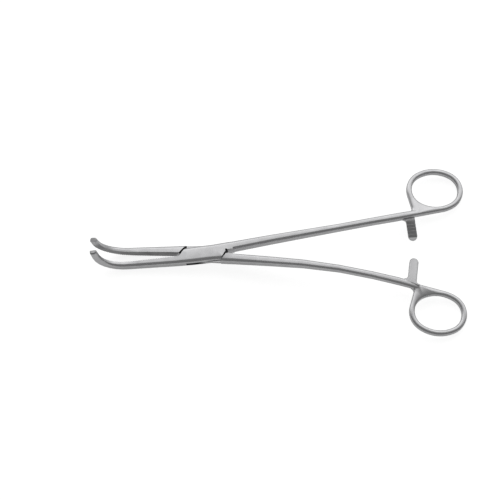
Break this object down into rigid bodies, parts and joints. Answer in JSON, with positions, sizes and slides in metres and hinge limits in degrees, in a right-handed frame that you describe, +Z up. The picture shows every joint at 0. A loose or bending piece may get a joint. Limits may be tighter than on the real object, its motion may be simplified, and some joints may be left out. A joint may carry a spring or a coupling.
{
  "type": "cystic duct forceps",
  "caption": "Ratcheted surgical forceps with a box lock, slender jaws bent through about a right angle, and oval finger rings.",
  "frame": {"origin": "centre of the bounding box at its base, the plane that the forceps lie on", "axes": "+X from the jaws to the finger rings, +Y towards the ring of the half that holds the box, +Z up, the way the jaws bend"},
  "size_m": [0.2268, 0.1092, 0.025],
  "materials": {
    "female_steel": "satin",
    "male_steel": "satin",
    "pin_steel": "satin"
  },
  "bodies": {
    "female_body": {"female_half": "female_steel", "pivot_pin": "pin_steel"},
    "male_body": {"male_half": "male_steel"}
  },
  "joints": [
    {"name": "pivot", "type": "hinge", "parent": "female_body", "child": "male_body", "pos_m": [-0.04403, 0, 0.00698], "axis": [0.1035, 0, -0.9946], "range_deg": [-5, 45]}
  ]
}
